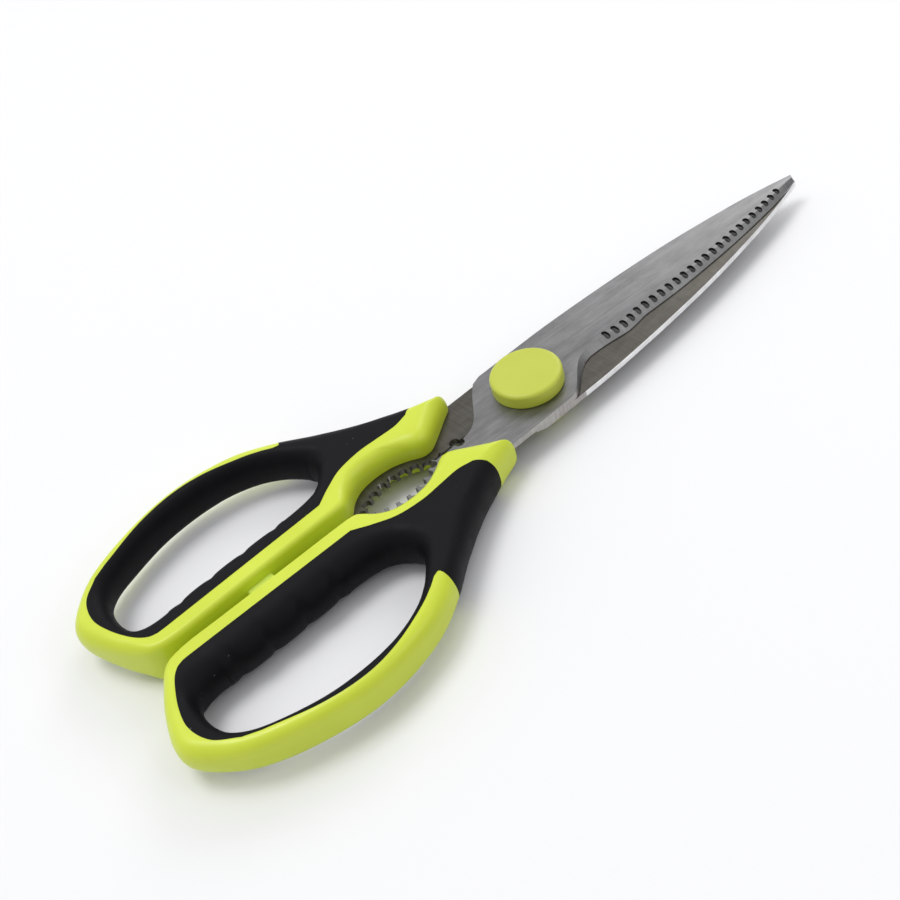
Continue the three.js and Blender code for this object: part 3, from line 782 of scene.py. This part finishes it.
def blade_material_slots(blank):
    """Brushed on the outer flat, ground across on the bevel, and ground across with painted shade on the
    inner face and round the eye.

    The walls along the blade are painted bright, a painted reflection of the floor, and rough ground from
    the pivot back.
    """
    for material in BLADE_MATERIALS:
        blank.data.materials.append(material)
    for polygon in blank.data.polygons:
        up = polygon.normal.z
        if up < -0.99:
            polygon.material_index = BLADE_MATERIALS.index(BRUSHED)
        elif up > 0.99:
            polygon.material_index = BLADE_MATERIALS.index(SHADED_INNER)
        elif up < -0.3:
            polygon.material_index = BLADE_MATERIALS.index(GROUND)
        elif polygon.center.x > ROOT_END * MM:
            polygon.material_index = BLADE_MATERIALS.index(WALL_PAINTED_BRIGHT)
        elif polygon.center.x > 0 or abs(polygon.center.y) > TANG_SIDE * MM:
            polygon.material_index = BLADE_MATERIALS.index(ROOT)
        else:
            polygon.material_index = BLADE_MATERIALS.index(SHADED_INNER)


def make_blades():
    outline = blade_outline()
    flat = outline[:, :2]
    bevelled = inwards(flat, outline[:, 2])
    blank = stack("blank", [
        (chamfered(bevelled, CHAMFER), BLADE_BOTTOM),
        (bevelled, BLADE_BOTTOM + CHAMFER),
        (flat, BLADE_TOP - LAND),
        (flat, BLADE_TOP - CHAMFER / 2),
        (chamfered(flat, CHAMFER / 2), BLADE_TOP),
    ])
    blade_material_slots(blank)
    circle = arc(0, 0, PIVOT_HOLE, 0, 354, 59)
    hole = stack("hole", [(circle, BLADE_BOTTOM - 1), (circle, BLADE_TOP + 1)])
    hole.data.materials.append(WALL_PAINTED_BRIGHT)
    pits = pit_cutters(BLADE_BOTTOM)
    # the pits' walls and floors take the cutter's steel, painted dark as shade
    pits.data.materials.append(PIT_PAINTED_SHADE)
    bored = cut(blank, hole, "DIFFERENCE")
    master = cut(bored, pits, "DIFFERENCE")
    remove(blank, hole, pits, bored)
    for name, body, turned in (("lower_blade", "lower_arm", False), ("upper_blade", "upper_arm", True)):
        item = bpy.data.objects.new(name, master.data.copy())
        scene.collection.objects.link(item)
        indices = [p.material_index for p in item.data.polygons]
        place(item, turned)
        smooth(item, BLADE_CREASE)
        piece(item, name + "_fine", body, name, "blade_steel", *BLADE_MATERIALS)
        item.data.polygons.foreach_set("material_index", indices)
    remove(master)


# ---- Pivot and stop pad --------------------------------------------------------------------------------

CAP_WALL = 1.2
CAP_ROOF = 1.3  # thickness of the cover's top
SHOULDER = 1.0  # rounding of its outer edge
FOOT = 0.15  # chamfer where it meets the blade
PANEL = (1.6, 1.9)  # the sunk panel starts and ends its step this far in from the side
PANEL_SUNK = 0.05
CAP_STEPS = 128
CAP_CREASE = 32


def cap_profile(face, outside, radius):
    """A snap-on cover: open towards the blade, with a rounded shoulder and a slightly sunk round panel."""
    up = 1 if outside > face else -1
    shoulder = [
        (radius - SHOULDER * (1 - math.cos(a)), outside - up * SHOULDER * (1 - math.sin(a)))
        for a in np.linspace(0, math.pi / 2, 9)
    ]
    sunk = outside - up * PANEL_SUNK
    nearly = outside - up * PANEL_SUNK * 0.8
    panel = [(radius - PANEL[0], outside), (radius - PANEL[1], nearly), (radius * 0.3, sunk)]
    roof = outside - up * CAP_ROOF
    inside = [(radius - CAP_WALL, roof), (radius - CAP_WALL, face)]
    foot = [(radius - FOOT, face), (radius, face + up * FOOT)]
    return [(0.0, roof), *inside, *foot, *shoulder, *panel, (0.0, sunk)]


def make_caps():
    for node, outside_index in (("pivot_cap_top", 1), ("pivot_cap_bottom", 0)):
        low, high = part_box(node)
        outside = (low, high)[outside_index].z / MM
        face = (low, high)[1 - outside_index].z / MM
        item = lathe(node, cap_profile(face, outside, high.x / MM), CAP_STEPS)
        mesh = bmesh.new()
        mesh.from_mesh(item.data)
        bmesh.ops.recalc_face_normals(mesh, faces=mesh.faces)
        mesh.to_mesh(item.data)
        mesh.free()
        smooth(item, CAP_CREASE)
        piece(item, node + "_fine", "lower_arm", node, "cap_plastic", CAP_LIME)


PAD_CORNER = 0.8
PAD_EDGE = 0.5  # depth of the rounding round the pad's face
PAD_SHRINK = 0.11  # how much smaller the face is than the block behind it
PAD_DEPTH = 0.6  # how far back the block runs, as a share of the CAD pad's reach into the handle
PAD_CREASE = 40


def make_stop_pad():
    """A rounded rubber block let into the left handle's inner face."""
    low, high = (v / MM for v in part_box("handle_stop_pad"))
    face = -low.y
    corner = PAD_CORNER
    rows = []
    for cx, cz, start in (
        (high.x - corner, high.z - corner, 0),
        (low.x + corner, high.z - corner, 90),
        (low.x + corner, low.z + corner, 180),
        (high.x - corner, low.z + corner, 270),
    ):
        rows.append(arc(cx, cz, corner, start, start + 90, 6))
    outline = np.vstack(rows)
    centre = outline.mean(axis=0)
    levels = []
    for k in range(6):
        angle = k / 5 * math.pi / 2
        shrink = 1 - PAD_SHRINK * (1 - math.sin(angle))
        levels.append((centre + (outline - centre) * shrink, PAD_EDGE * (1 - math.cos(angle)) - face))
    levels.append((outline, high.y * PAD_DEPTH))
    item = stack("pad", levels)
    swap_y_and_z = Matrix(((1, 0, 0, 0), (0, 0, 1, 0), (0, 1, 0, 0), (0, 0, 0, 1)))
    item.data.transform(swap_y_and_z)
    item.data.flip_normals()
    smooth(item, PAD_CREASE)
    piece(item, "handle_stop_pad_fine", "lower_arm", "handle_stop_pad", "stop_pad_rubber", PAD_LIME)


def dress_hardware():
    """The bolt, washer and nut keep their CAD shapes and take turned steel."""
    for node in ("pivot_bolt", "pivot_washer", "pivot_nut"):
        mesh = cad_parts[node].data
        mesh.materials.clear()
        mesh.materials.append(HARDWARE)


# ---- Assembly ------------------------------------------------------------------------------------------

make_camera()
make_studio()
make_handles()
make_blades()
make_caps()
make_stop_pad()
dress_hardware()
